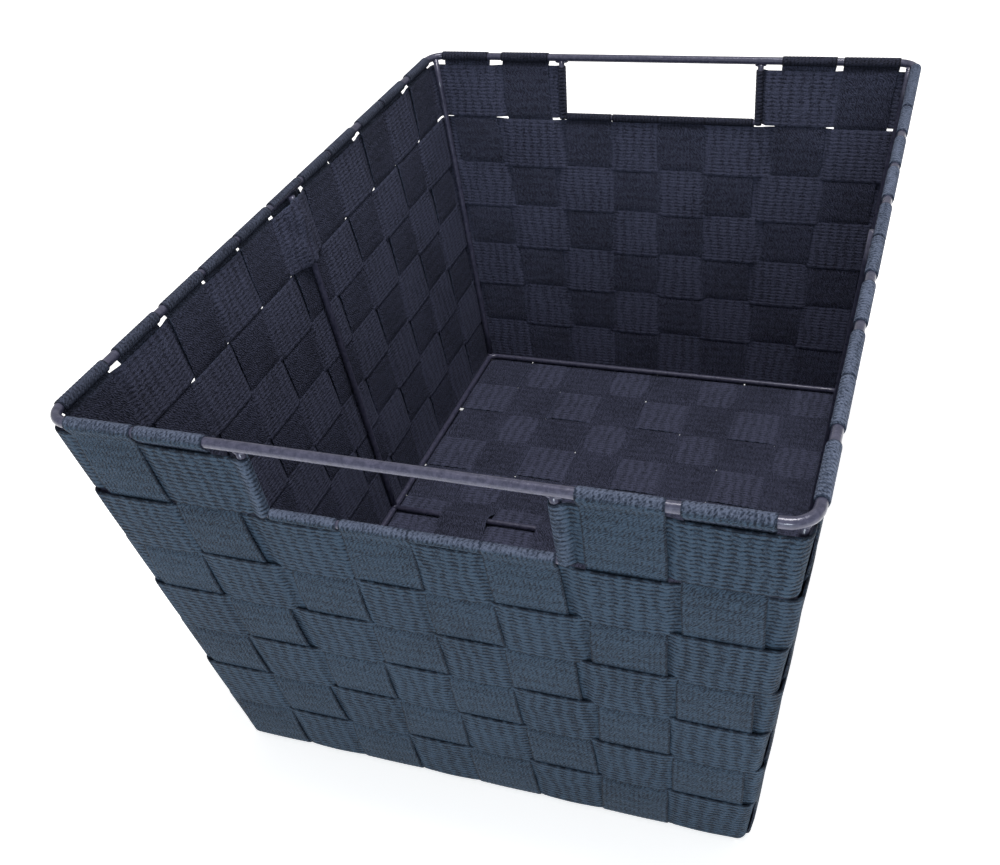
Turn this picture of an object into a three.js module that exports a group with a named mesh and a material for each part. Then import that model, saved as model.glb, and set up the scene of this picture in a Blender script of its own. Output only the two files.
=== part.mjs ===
// A storage bin woven from flat straps, in millimetres, +Z up, origin at the middle of its underside.
//
// A welded wire frame holds the bin's shape: a rim wire, a base wire, four corner posts, a middle post
// in each long wall with a cross wire between their feet, and a bent wire under the rim at each handle.
// Long straps run down the front wall, along the base and up the back wall, cross straps do the same
// from the left rim to the right rim, and rings of strap lie around the walls. Each strap passes over
// one neighbour and under the next. Strap ends are rolled around the rim wire or a handle wire.

import * as THREE from 'three';

// Wire frame
const RIM_HALF = { x: 150, y: 206 };
const RIM_HEIGHT = 213;
const RIM_WIRE = 4.5;
const RIM_BEND = 10;
const BASE_HALF = { x: 122.5, y: 175 };
const BASE_BEND = 5;
const FRAME_WIRE = 3.5;
const CORNER_INSET = 3.5;
const POST_FOOT = 6.7;
const CORNER_POST_TOP = 210.1;
const MID_POST_TOP = 210.8;
const HANDLE_HALF = 62;
const HANDLE_HEIGHT = 176.5;
const HANDLE_BEND = 2;

// Straps
const THICKNESS = 1;
const CLEARANCE = 0.3;
const STRAP_WIDTH = 28;
const RING_WIDTH = 26;
const BASE_PITCH = { x: 30.2, y: 31.85 };
const RIM_PITCH = { x: 35.7, y: 35.85 };
const HANDLE_PITCH = 29.7;
const COLUMNS = { x: 8, y: 11 };
const HANDLE_COLUMNS = [2, 5];
const ROWS = 7;
const TOP_RING = 191.2;
const SECOND_RING = 158.25;
const RING_PITCH = 28.05;
const RAMP = 0.8;
const HUMP = { foot: 9, top: 2 };
const RING_CORNER = 4.5;

// A strap end leaves its wall this many turn radii below the wire, and rolls around to this angle
const ROLL_START = 2;
const ROLL_END = THREE.MathUtils.degToRad(230);
const ROLL_END_AT_POST = THREE.MathUtils.degToRad(165);
const ROLL_STEPS = 6;
const BEND_STEPS = 3;
const WIRE_SIDES = 8;
const WIRE_BEND_STEPS = 3;

// The two layers of the weave lie this far to each side of its middle surface
const LAYER = (THICKNESS + CLEARANCE) / 2;
const BEND = FRAME_WIRE / 2 + CLEARANCE + THICKNESS / 2 + LAYER;
const BASE_MIDDLE = LAYER + THICKNESS / 2;
const BASE_WIRE_HEIGHT = BASE_MIDDLE + BEND;

const wirePaint = new THREE.MeshStandardMaterial({ color: 0x4a4a58, roughness: 0.35, metalness: 0.6 });
const webbing = new THREE.MeshStandardMaterial({ color: 0x33465a, roughness: 0.9, metalness: 0 });

const bin = new THREE.Group();

function addPiece(name, geometry, material) {
  const mesh = new THREE.Mesh(geometry, material);
  mesh.name = name;
  bin.add(mesh);
  return mesh;
}

// Walls: each leans out from the bend around the base wire to the middle of the rim wire

function leaningWall(baseHalf, rimHalf) {
  const run = rimHalf - baseHalf;
  const rise = RIM_HEIGHT - BASE_WIRE_HEIGHT;
  const lean = Math.atan2(run, rise) - Math.asin(BEND / Math.hypot(run, rise));
  const out = new THREE.Vector2(Math.cos(lean), -Math.sin(lean));
  const up = new THREE.Vector2(Math.sin(lean), Math.cos(lean));
  const wire = new THREE.Vector2(baseHalf, BASE_WIRE_HEIGHT);
  const foot = wire.clone().addScaledVector(out, BEND);
  const at = (z, offset = 0) => foot.clone()
    .addScaledVector(up, (z - foot.y) / up.y)
    .addScaledVector(out, offset);
  return { lean, out, up, wire, at };
}

const walls = {
  x: leaningWall(BASE_HALF.x, RIM_HALF.x),
  y: leaningWall(BASE_HALF.y, RIM_HALF.y),
};

function ringHeight(row) {
  return row === 0 ? TOP_RING : SECOND_RING - (row - 1) * RING_PITCH;
}

function rowBoundary(row) {
  return (ringHeight(row) + ringHeight(row - 1)) / 2;
}

// Columns fan out as they rise, except those that end at a handle wire

function columnPlace(axis, column, z) {
  const steps = column - (COLUMNS[axis] - 1) / 2;
  if (endsAtHandle(axis, column)) {
    return steps * THREE.MathUtils.lerp(BASE_PITCH.x, HANDLE_PITCH, z / HANDLE_HEIGHT);
  }
  return steps * THREE.MathUtils.lerp(BASE_PITCH[axis], RIM_PITCH[axis], z / RIM_HEIGHT);
}

function endsAtHandle(axis, column) {
  return axis === 'x' && column >= HANDLE_COLUMNS[0] && column <= HANDLE_COLUMNS[1];
}

// Places on one half of a wall that keep their order as the weave widens
function fanKnots(axis, z) {
  const first = Math.floor(COLUMNS[axis] / 2);
  const knots = [0];
  for (let column = first; column < COLUMNS[axis]; column++) {
    knots.push(columnPlace(axis, column, z));
  }
  if (axis === 'x') {
    knots.push(HANDLE_HALF);
  }
  knots.push(walls[axis].at(z).x);
  return [...new Set(knots)].sort((a, b) => a - b);
}

function fanOut(value, from, to) {
  const size = Math.abs(value);
  const next = from.findIndex((knot) => knot > size);
  if (next < 0) {
    return value + Math.sign(value) * (to.at(-1) - from.at(-1));
  }
  const share = (size - from[next - 1]) / (from[next] - from[next - 1]);
  return Math.sign(value) * THREE.MathUtils.lerp(to[next - 1], to[next], share);
}

// Strap geometry: a centreline is thickened into an outline, and the outline is extruded

function edgesOf(line, closed) {
  const edges = { left: [], right: [] };
  line.forEach((point, i) => {
    const before = line[i - 1] ?? (closed ? line.at(-1) : point);
    const after = line[i + 1] ?? (closed ? line[0] : point);
    const arrive = point.clone().sub(before).normalize();
    const leave = after.clone().sub(point).normalize();
    const turning = arrive.lengthSq() > 0 && leave.lengthSq() > 0;
    const mitre = turning ? Math.cos(arrive.angleTo(leave) / 2) : 1;
    const along = arrive.add(leave).normalize();
    const side = new THREE.Vector2(-along.y, along.x).multiplyScalar(THICKNESS / 2 / mitre);
    edges.left.push(point.clone().add(side));
    edges.right.push(point.clone().sub(side));
  });
  return edges;
}

function openStrap(line, width) {
  const { left, right } = edgesOf(line, false);
  const shape = new THREE.Shape([...left, ...right.reverse()]);
  return new THREE.ExtrudeGeometry(shape, { depth: width, bevelEnabled: false });
}

function closedStrap(line, width) {
  const { left, right } = edgesOf(line, true);
  const shape = new THREE.Shape(right);
  shape.holes.push(new THREE.Path(left));
  return new THREE.ExtrudeGeometry(shape, { depth: width, bevelEnabled: false });
}

function moveVertices(geometry, move) {
  const position = geometry.attributes.position;
  const vertex = new THREE.Vector3();
  for (let i = 0; i < position.count; i++) {
    vertex.fromBufferAttribute(position, i);
    position.setXYZ(i, ...move(vertex));
  }
  geometry.computeVertexNormals();
  return geometry;
}

// A rolled end in its own plane: x is out of the wall and y is towards the wire, which is at 0, 0
function rolledEnd(offset, wireDiameter, lastAngle) {
  const radius = wireDiameter / 2 + CLEARANCE + THICKNESS / 2;
  const start = new THREE.Vector2(offset, -ROLL_START * radius);
  const firstAngle = Math.atan2(start.y, start.x) + Math.acos(radius / start.length());
  const points = [start];
  for (let i = 0; i <= ROLL_STEPS; i++) {
    const angle = THREE.MathUtils.lerp(firstAngle, lastAngle, i / ROLL_STEPS);
    points.push(new THREE.Vector2(Math.cos(angle), Math.sin(angle)).multiplyScalar(radius));
  }
  return points;
}

// Vertical straps: one side profile from the base up one wall, whose x is out from the middle of the bin

function wallProfile(wall, topRow, wallSides, baseSide, roll) {
  const points = [];
  const bottomOffset = wallSides[ROWS - 1] * LAYER;
  for (let i = 0; i <= BEND_STEPS; i++) {
    const angle = THREE.MathUtils.lerp(-Math.PI / 2, -wall.lean, i / BEND_STEPS);
    const radius = BEND + THREE.MathUtils.lerp(baseSide * LAYER, bottomOffset, i / BEND_STEPS);
    const spoke = new THREE.Vector2(Math.cos(angle), Math.sin(angle));
    points.push(wall.wire.clone().addScaledVector(spoke, radius));
  }
  for (let row = ROWS - 1; row > topRow; row--) {
    points.push(wall.at(rowBoundary(row) - RAMP / 2, wallSides[row] * LAYER));
    points.push(wall.at(rowBoundary(row) + RAMP / 2, wallSides[row - 1] * LAYER));
  }
  const wireCentre = wall.at(roll.height);
  for (const point of rolledEnd(wallSides[topRow] * LAYER, roll.diameter, roll.lastAngle)) {
    points.push(wireCentre.clone().addScaledVector(wall.out, point.x).addScaledVector(wall.up, point.y));
  }
  return points;
}

// A strap lies outside its neighbour where the sum of its column and row around the bin is even
function sidesDownWall(column) {
  return Array.from({ length: ROWS }, (_, row) => ((column + row) % 2 === 0 ? 1 : -1));
}

function baseLine(axis, sides) {
  const pitch = BASE_PITCH[axis];
  const points = [];
  for (let j = 1; j < sides.length; j++) {
    const gap = (j - sides.length / 2) * pitch;
    points.push(new THREE.Vector2(gap - RAMP / 2, BASE_MIDDLE - sides[j - 1] * LAYER));
    points.push(new THREE.Vector2(gap + RAMP / 2, BASE_MIDDLE - sides[j] * LAYER));
  }
  return points;
}

// Where a long strap lies over the cross strap in the middle, it humps over the base cross wire
function humpOverCrossWire() {
  const low = BASE_MIDDLE + LAYER;
  const high = BASE_WIRE_HEIGHT + FRAME_WIRE / 2 + CLEARANCE + THICKNESS / 2;
  return [
    new THREE.Vector2(-HUMP.foot, low),
    new THREE.Vector2(-HUMP.top, high),
    new THREE.Vector2(HUMP.top, high),
    new THREE.Vector2(HUMP.foot, low),
  ];
}

function verticalStrap(start, base, end) {
  const mirrored = start.map((point) => new THREE.Vector2(-point.x, point.y)).reverse();
  return openStrap([...mirrored, ...base, ...end], STRAP_WIDTH);
}

const rimRoll = { height: RIM_HEIGHT, diameter: RIM_WIRE, lastAngle: ROLL_END };
const postRoll = { height: RIM_HEIGHT, diameter: RIM_WIRE, lastAngle: ROLL_END_AT_POST };
const handleRoll = { height: HANDLE_HEIGHT, diameter: FRAME_WIRE, lastAngle: ROLL_END };

function longStrap(column) {
  const atHandle = endsAtHandle('x', column);
  const topRow = atHandle ? 1 : 0;
  const roll = atHandle ? handleRoll : rimRoll;
  const frontSides = sidesDownWall(column);
  const backSides = sidesDownWall(COLUMNS.x + COLUMNS.y + COLUMNS.x - 1 - column);
  const baseSides = Array.from({ length: COLUMNS.y }, (_, j) => ((column + j) % 2 === 0 ? -1 : 1));
  const front = wallProfile(walls.y, topRow, frontSides, baseSides[0], roll);
  const back = wallProfile(walls.y, topRow, backSides, baseSides.at(-1), roll);
  const middle = (COLUMNS.y - 1) / 2;
  const base = baseLine('y', baseSides);
  if (baseSides[middle] < 0) {
    base.splice(2 * middle, 0, ...humpOverCrossWire());
  }
  const geometry = verticalStrap(front, base, back);
  return moveVertices(geometry, ({ x, y, z }) => [
    columnPlace('x', column, y) + z - STRAP_WIDTH / 2, x, y,
  ]);
}

function crossStrap(column) {
  const middle = (COLUMNS.y - 1) / 2;
  const roll = column === middle ? postRoll : rimRoll;
  const rightSides = sidesDownWall(COLUMNS.x + column);
  const leftSides = sidesDownWall(2 * COLUMNS.x + 2 * COLUMNS.y - 1 - column);
  const baseSides = Array.from({ length: COLUMNS.x }, (_, i) => ((column + i) % 2 === 0 ? 1 : -1));
  const left = wallProfile(walls.x, 0, leftSides, baseSides[0], roll);
  const right = wallProfile(walls.x, 0, rightSides, baseSides.at(-1), roll);
  const geometry = verticalStrap(left, baseLine('x', baseSides), right);
  return moveVertices(geometry, ({ x, y, z }) => [
    x, columnPlace('y', column, y) - z + STRAP_WIDTH / 2, y,
  ]);
}

// Rings: a plan view followed anticlockwise from the front left corner, through every column in turn

const BACK_FIRST = COLUMNS.x + COLUMNS.y;
const AROUND = 2 * BACK_FIRST;
const SIDES = [
  { first: 0, axis: 'x', along: new THREE.Vector2(1, 0), out: new THREE.Vector2(0, -1) },
  { first: COLUMNS.x, axis: 'y', along: new THREE.Vector2(0, 1), out: new THREE.Vector2(1, 0) },
  { first: BACK_FIRST, axis: 'x', along: new THREE.Vector2(-1, 0), out: new THREE.Vector2(0, 1) },
  { first: BACK_FIRST + COLUMNS.x, axis: 'y', along: new THREE.Vector2(0, -1), out: new THREE.Vector2(-1, 0) },
];

function sideOf(index) {
  return SIDES.findLast((side) => side.first <= index);
}

function otherAxis(axis) {
  return axis === 'x' ? 'y' : 'x';
}

function planPoint(side, along, out, z) {
  const distance = walls[otherAxis(side.axis)].at(z).x + out;
  return side.along.clone().multiplyScalar(along).addScaledVector(side.out, distance);
}

function ringOffset(index, row) {
  return (index + row) % 2 === 0 ? -LAYER : LAYER;
}

function gapAfter(index, z) {
  const side = sideOf(index);
  const column = index - side.first;
  return (columnPlace(side.axis, column, z) + columnPlace(side.axis, column + 1, z)) / 2;
}

function cornerPoints(side, fromOffset, toOffset, z) {
  const centre = planPoint(side, walls[side.axis].at(z).x - RING_CORNER, -RING_CORNER, z);
  const points = [];
  for (let i = 0; i <= BEND_STEPS; i++) {
    const share = i / BEND_STEPS;
    const angle = share * Math.PI / 2;
    const radius = RING_CORNER + THREE.MathUtils.lerp(fromOffset, toOffset, share);
    points.push(centre.clone()
      .addScaledVector(side.out, radius * Math.cos(angle))
      .addScaledVector(side.along, radius * Math.sin(angle)));
  }
  return points;
}

// The stretch of a ring between one column and the next, around the corner if there is one
function ringStep(index, row) {
  const z = ringHeight(row);
  const side = sideOf(index);
  const next = (index + 1) % AROUND;
  const offset = ringOffset(index, row);
  const nextOffset = ringOffset(next, row);
  if (sideOf(next) !== side) {
    return cornerPoints(side, offset, nextOffset, z);
  }
  const gap = gapAfter(index, z);
  return [planPoint(side, gap - RAMP / 2, offset, z), planPoint(side, gap + RAMP / 2, nextOffset, z)];
}

function fanRing(geometry, row) {
  const middle = ringHeight(row);
  const from = { x: fanKnots('x', middle), y: fanKnots('y', middle) };
  return moveVertices(geometry, ({ x, y, z }) => {
    const height = middle - RING_WIDTH / 2 + z;
    return [
      fanOut(x, from.x, fanKnots('x', height)),
      fanOut(y, from.y, fanKnots('y', height)),
      height,
    ];
  });
}

function wholeRing(row) {
  const line = [];
  for (let index = 0; index < AROUND; index++) {
    line.push(...ringStep(index, row));
  }
  return fanRing(closedStrap(line, RING_WIDTH), row);
}

// An end of the top ring, rolled around the upright of a handle wire
function ringEnd(index, towards) {
  const side = sideOf(index);
  const wire = planPoint(side, -towards * HANDLE_HALF, 0, TOP_RING);
  return rolledEnd(ringOffset(index, 0), FRAME_WIRE, ROLL_END).map((point) => wire.clone()
    .addScaledVector(side.out, point.x)
    .addScaledVector(side.along, towards * point.y));
}

function halfRing(first, last) {
  const line = ringEnd(first, -1).reverse();
  for (let index = first; index !== last; index = (index + 1) % AROUND) {
    line.push(...ringStep(index, 0));
  }
  line.push(...ringEnd(last, 1));
  return fanRing(openStrap(line, RING_WIDTH), 0);
}

// Wires: each has eight sides, whose corners lie on the wire's round surface

function wireSection(diameter) {
  const halfFlat = diameter / 2 * Math.sin(Math.PI / WIRE_SIDES);
  const bevel = diameter / 2 * Math.cos(Math.PI / WIRE_SIDES) - halfFlat;
  return { halfFlat, bevel };
}

function extrudeWire(shape, diameter) {
  const { halfFlat, bevel } = wireSection(diameter);
  const geometry = new THREE.ExtrudeGeometry(shape, {
    depth: 2 * halfFlat,
    bevelThickness: bevel,
    bevelSize: bevel,
    bevelSegments: 1,
    curveSegments: WIRE_BEND_STEPS,
  });
  return geometry.translate(0, 0, -halfFlat);
}

function roundedRectangle(path, halfX, halfY, bend) {
  path.moveTo(-halfX + bend, -halfY);
  path.lineTo(halfX - bend, -halfY);
  path.absarc(halfX - bend, -halfY + bend, bend, -Math.PI / 2, 0);
  path.lineTo(halfX, halfY - bend);
  path.absarc(halfX - bend, halfY - bend, bend, 0, Math.PI / 2);
  path.lineTo(-halfX + bend, halfY);
  path.absarc(-halfX + bend, halfY - bend, bend, Math.PI / 2, Math.PI);
  path.lineTo(-halfX, -halfY + bend);
  path.absarc(-halfX + bend, -halfY + bend, bend, Math.PI, 1.5 * Math.PI);
  return path;
}

function wireLoop(half, bend, diameter, height) {
  const { halfFlat } = wireSection(diameter);
  const shape = roundedRectangle(new THREE.Shape(), half.x + halfFlat, half.y + halfFlat, bend + halfFlat);
  const inside = roundedRectangle(new THREE.Path(), half.x - halfFlat, half.y - halfFlat, bend - halfFlat);
  shape.holes.push(inside);
  return extrudeWire(shape, diameter).translate(0, 0, height);
}

function addRod(name, from, to) {
  const along = to.clone().sub(from);
  const geometry = new THREE.CylinderGeometry(FRAME_WIRE / 2, FRAME_WIRE / 2, along.length(), WIRE_SIDES);
  const rod = addPiece(name, geometry, wirePaint);
  rod.position.copy(from).add(to).multiplyScalar(0.5);
  rod.quaternion.setFromUnitVectors(new THREE.Vector3(0, 1, 0), along.normalize());
}

function cornerPostPoint(signX, signY, z) {
  const x = walls.x.at(z).x - CORNER_INSET;
  const y = walls.y.at(z).x - CORNER_INSET;
  return new THREE.Vector3(signX * x, signY * y, z);
}

function midPostPoint(signX, z) {
  const place = walls.x.at(z, -BEND);
  return new THREE.Vector3(signX * place.x, 0, place.y);
}

// The bent handle wire, drawn in the plane of its wall: both tips stop just below the rim wire
function handleWire() {
  const { halfFlat, bevel } = wireSection(FRAME_WIRE);
  const rise = (RIM_HEIGHT - HANDLE_HEIGHT) / Math.cos(walls.y.lean);
  const tip = rise - RIM_WIRE / 2 - CLEARANCE - bevel;
  const inner = HANDLE_HALF - halfFlat;
  const outer = HANDLE_HALF + halfFlat;
  const corner = HANDLE_HALF - HANDLE_BEND;
  const shape = new THREE.Shape();
  shape.moveTo(-outer, tip);
  shape.lineTo(-outer, HANDLE_BEND);
  shape.absarc(-corner, HANDLE_BEND, HANDLE_BEND + halfFlat, Math.PI, 1.5 * Math.PI);
  shape.lineTo(corner, -halfFlat);
  shape.absarc(corner, HANDLE_BEND, HANDLE_BEND + halfFlat, -Math.PI / 2, 0);
  shape.lineTo(outer, tip);
  shape.lineTo(inner, tip);
  shape.lineTo(inner, HANDLE_BEND);
  shape.absarc(corner, HANDLE_BEND, HANDLE_BEND - halfFlat, 0, -Math.PI / 2, true);
  shape.lineTo(-corner, halfFlat);
  shape.absarc(-corner, HANDLE_BEND, HANDLE_BEND - halfFlat, -Math.PI / 2, -Math.PI, true);
  shape.lineTo(-inner, tip);
  return extrudeWire(shape, FRAME_WIRE);
}

function addHandleWire(name, sign) {
  const wire = addPiece(name, handleWire(), wirePaint);
  const foot = walls.y.at(HANDLE_HEIGHT);
  wire.position.set(0, sign * foot.x, foot.y);
  wire.rotation.x = Math.PI / 2 - sign * walls.y.lean;
}

function addFrame() {
  addPiece('rim_wire', wireLoop(RIM_HALF, RIM_BEND, RIM_WIRE, RIM_HEIGHT), wirePaint);
  addPiece('base_wire', wireLoop(BASE_HALF, BASE_BEND, FRAME_WIRE, BASE_WIRE_HEIGHT), wirePaint);
  for (const [end, signY] of [['front', -1], ['back', 1]]) {
    for (const [hand, signX] of [['left', -1], ['right', 1]]) {
      addRod(
        `corner_post_${end}_${hand}`,
        cornerPostPoint(signX, signY, POST_FOOT),
        cornerPostPoint(signX, signY, CORNER_POST_TOP),
      );
    }
    addHandleWire(`handle_wire_${end}`, signY);
  }
  addRod('mid_post_left', midPostPoint(-1, POST_FOOT), midPostPoint(-1, MID_POST_TOP));
  addRod('mid_post_right', midPostPoint(1, POST_FOOT), midPostPoint(1, MID_POST_TOP));
  const reach = BASE_HALF.x - FRAME_WIRE / 2 - CLEARANCE;
  addRod(
    'base_cross_wire',
    new THREE.Vector3(-reach, 0, BASE_WIRE_HEIGHT),
    new THREE.Vector3(reach, 0, BASE_WIRE_HEIGHT),
  );
}

function addStraps() {
  for (let column = 0; column < COLUMNS.x; column++) {
    addPiece(`long_strap_${column + 1}`, longStrap(column), webbing);
  }
  for (let column = 0; column < COLUMNS.y; column++) {
    addPiece(`cross_strap_${column + 1}`, crossStrap(column), webbing);
  }
  const [firstHandle, lastHandle] = HANDLE_COLUMNS;
  addPiece('ring_strap_1_right', halfRing(lastHandle + 1, BACK_FIRST + firstHandle - 1), webbing);
  addPiece('ring_strap_1_left', halfRing(BACK_FIRST + lastHandle + 1, firstHandle - 1), webbing);
  for (let row = 1; row < ROWS; row++) {
    addPiece(`ring_strap_${row + 1}`, wholeRing(row), webbing);
  }
}

addFrame();
addStraps();

export default bin;
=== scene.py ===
"""A storage bin woven from webbing on a welded wire frame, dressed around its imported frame.

Every strap is swept as ribbed webbing along the route that its CAD solid takes: over one neighbour,
under the next, and rolled around the rim wire or a handle wire at its ends. Every wire becomes a round
painted one, with its welds. Lengths are in millimetres, and MM turns them into metres.
"""

import math
from types import SimpleNamespace

import bmesh
import bpy
import numpy as np
from mathutils import Matrix, Vector


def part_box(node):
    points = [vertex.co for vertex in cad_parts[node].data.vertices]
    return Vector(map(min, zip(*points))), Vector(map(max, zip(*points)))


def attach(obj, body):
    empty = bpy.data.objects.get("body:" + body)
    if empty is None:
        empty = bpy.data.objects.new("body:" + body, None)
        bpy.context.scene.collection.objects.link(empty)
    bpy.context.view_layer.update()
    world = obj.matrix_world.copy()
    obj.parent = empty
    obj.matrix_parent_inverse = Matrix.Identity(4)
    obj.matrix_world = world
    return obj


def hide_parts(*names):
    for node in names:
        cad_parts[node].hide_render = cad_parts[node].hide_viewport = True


MM = 0.001

# Webbing
STRAP_WIDTH = 30.4
WRAP_WIDTH = 31.4
RING_WIDTH = 30.6
THICKNESS = 1.1
RIBS = 14
RIB_DEPTH = 0.09
WRAP_RIB_DEPTH = 0.17
RIB_ROUNDNESS = 0.7
LOOP_PITCH = 5.7
SELVEDGE = 0.55

# Steps along a strap: straight, round a turn, and while its route is worked out
STEP = 2.0
TURN_STEP = math.radians(15)
DENSE_STEP = 0.4

# Points in a bend of a strap or wire, and the gap between a strap's bend and the straight points after it
BEND_POINTS = 9
BEND_GAP = 1.0

# Weave: a strap lies in one of two layers, at the two sides of a middle surface
LAYER = 0.65
RAMP = 7.0
BOW = 0.25
BEND = 3.1
RING_CORNER = 4.5
RING_TILT = 0.4

# How far a strap bulges over a crossing, when it lies outside and inside the strap it crosses
PUFF = {1: 0.5, -1: 0.12}
PUFF_SHAPE = 1.5

# A strap lifts over the base cross wire within this distance of it
HUMP_REACH = 11.0
HUMP_SHAPE = 1.6

# How far the lower edge of each of the top two rings is pulled down, and its upper edge up
RING_SPREAD = {0: (0.7, 1.4), 1: (0.0, 0.8)}

BASE_PITCH = {"x": 30.2, "y": 31.85}
RIM_PITCH = {"x": 35.7, "y": 35.85}
HANDLE_PITCH = 29.7
HANDLE_COLUMNS = range(2, 6)
COLUMNS = {"x": 8, "y": 11}
ROWS = 7

# How far the upright straps stray to each side, in waves of these lengths
WANDER = 0.35
WANDER_WAVES = (260, 110, 55)

# Rolled ends
SNUG = 0.05
ROLL_PRESS = 0.35
ROLL_START = 2.0
ROLL_END = math.radians(235)
ROLL_END_AT_POST = math.radians(165)
HANDLE_WRAP_WIDTH = HANDLE_PITCH - 0.1
RING_END_PRESS = 0.4

# How far each wrap has slid along the rim from its even place, following the sides around the bin
SLID = {
    "front": [1.0, -2.8, 0, 0.6, -0.5, 0, -3.3, -2.1],
    "right": [0.9, 5.5, 2.5, 5.5, 10.5, 6, 10.5, 10.5, 14, 10.5, 3.5],
    "back": [-0.6, -0.6, 0.4, 0, -0.5, 0.3, -2.9, 1.4],
    "left": [0.6, 4.6, 1.2, 5.3, 3, 0.9, 0.8, -2.1, -4.4, -3, 1],
}

# How far the wraps on each side are painted as lit, from the shaded copy at 0 to the lit copy at 1:
# painted light and shade for how the light falls on each side
WRAP_LIT_SHARE = {"front": 0.8, "right": 1.0, "back": 0.0, "left": 0.3}

# A long strap's wrap takes the painted wrap light from this angle around its wire, and fully this much on,
# so that the painted light lies on the crest of the roll
LIT_CREST_FROM = -0.1
LIT_CREST_OVER = 0.8

# Long straps are marked flat all along, and cross straps above this height, where their ribs run up the
# walls or away from the front and the top light would not shade them: there the painted pit shade and
# knuckle highlights are weaker, the twill stronger, and the face within the bin is painted darker. In a
# wrap the mark drops by this share.
FLAT_ABOVE = 12.0
WRAP_FLAT_DROP = 0.35

# The top ring's pucker over a middle post: its place and reach along the wall, and what it does there
PUCKER_PLACE = 1.0
PUCKER_REACH = 11.0
PUCKER_DEPTH = 4.4
PUCKER_TILT = 0.5
PUCKER_LIFT = 0.8
PUCKER_WIDENING = 2.4
# Its creases: the size of each, and how fast it turns along the ring and across it
CREASES = ((0.8, 0.7, 2.6), (0.5, -0.3, 4.5))

# Wires
CORNER_INSET = 3.5
POST_OFFSET = -3.2
WIRE_SIDES = 20
HANDLE_BEND = 2.5
RIM_BEND = 10.0
BASE_BEND = 5.0
CROSS_WIRE_POINTS = 9

# Posts: how far their ends are from the middles of the rim and base wires, and their points
POST_END = 1.0
POST_POINTS = 12

# A handle wire: how deep its ends are in the rim wire, and the points in its straight runs and how far
# from a bend they stop
HANDLE_BITE = 0.4
UPRIGHT_POINTS = 6
UPRIGHT_STOP = 2.0
LEVEL_POINTS = 9
LEVEL_STOP = 4.0

# Weld beads: their sizes along x, y and z, how far they are below the rim wire or in from the base wire,
# and how uneven they are
POST_FOOT_BEAD = (4.8, 4.8, 3.8)
POST_TOP_BEAD = (4.0, 4.0, 2.2)
CROSS_WIRE_BEAD = (4.6, 4.4, 3.8)
HANDLE_BEAD = (7.5, 3.4, 1.8)
BEAD_DROP = 0.2
BEAD_INSET = 1.0
BEAD_RIPPLE = 0.07
BEAD_WAVES = 3
BEAD_PHASES = 6

# Stage
FLOOR_SIZE = 6.0
FLOOR_DROP = 0.4

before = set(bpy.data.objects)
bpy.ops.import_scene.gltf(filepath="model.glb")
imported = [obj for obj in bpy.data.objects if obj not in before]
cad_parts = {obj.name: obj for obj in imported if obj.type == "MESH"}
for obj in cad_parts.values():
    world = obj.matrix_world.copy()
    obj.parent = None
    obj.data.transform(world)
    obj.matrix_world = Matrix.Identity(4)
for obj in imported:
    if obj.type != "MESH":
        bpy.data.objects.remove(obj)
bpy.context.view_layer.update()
rng = np.random.default_rng(7)


# ------------------------------------------------------------ sizes read from the frame


def corners_of(node):
    """Lowest and highest corners of a CAD node."""
    return [np.array(corner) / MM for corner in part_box(node)]


def wire_loop(node):
    """Half sizes, height and diameter of a wire loop, from a solid whose section has eight flat sides."""
    low, high = corners_of(node)
    flat = high[2] - low[2]
    return SimpleNamespace(
        half={"x": high[0] - flat / 2, "y": high[1] - flat / 2},
        height=(low[2] + high[2]) / 2,
        diameter=flat / math.cos(math.pi / 8),
        flat=flat,
    )


def middle_height(node):
    low, high = corners_of(node)
    return (low[2] + high[2]) / 2


rim = wire_loop("rim_wire")
base = wire_loop("base_wire")
WIRE = base.diameter
handle_low, handle_high = corners_of("handle_wire_front")
HANDLE_HEIGHT = handle_low[2] + WIRE / 2
HANDLE_HALF = handle_high[0] - base.flat / 2
BASE_MIDDLE = base.height - BEND
RING_HEIGHTS = [middle_height("ring_strap_1_left")]
RING_HEIGHTS += [middle_height(f"ring_strap_{row + 1}") for row in range(1, ROWS)]
ROW_GAPS = [(upper + lower) / 2 for upper, lower in zip(RING_HEIGHTS, RING_HEIGHTS[1:])]


class Wall:
    """A leaning wall seen from its end: how far out from the middle of the bin, and how high."""

    def __init__(self, axis):
        run = rim.half[axis] - base.half[axis]
        rise = rim.height - base.height
        self.lean = math.atan2(run, rise) - math.asin(BEND / math.hypot(run, rise))
        self.out = np.array([math.cos(self.lean), -math.sin(self.lean)])
        self.up = np.array([math.sin(self.lean), math.cos(self.lean)])
        self.wire = np.array([base.half[axis], base.height])
        self.foot = self.wire + BEND * self.out

    def at(self, height, offset=0.0):
        climb = (np.asarray(height, float) - self.foot[1]) / self.up[1]
        return self.foot + np.multiply.outer(climb, self.up) + np.multiply.outer(offset, self.out)

    def distance(self, height):
        return self.at(height)[..., 0]


WALLS = {axis: Wall(axis) for axis in "xy"}


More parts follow.
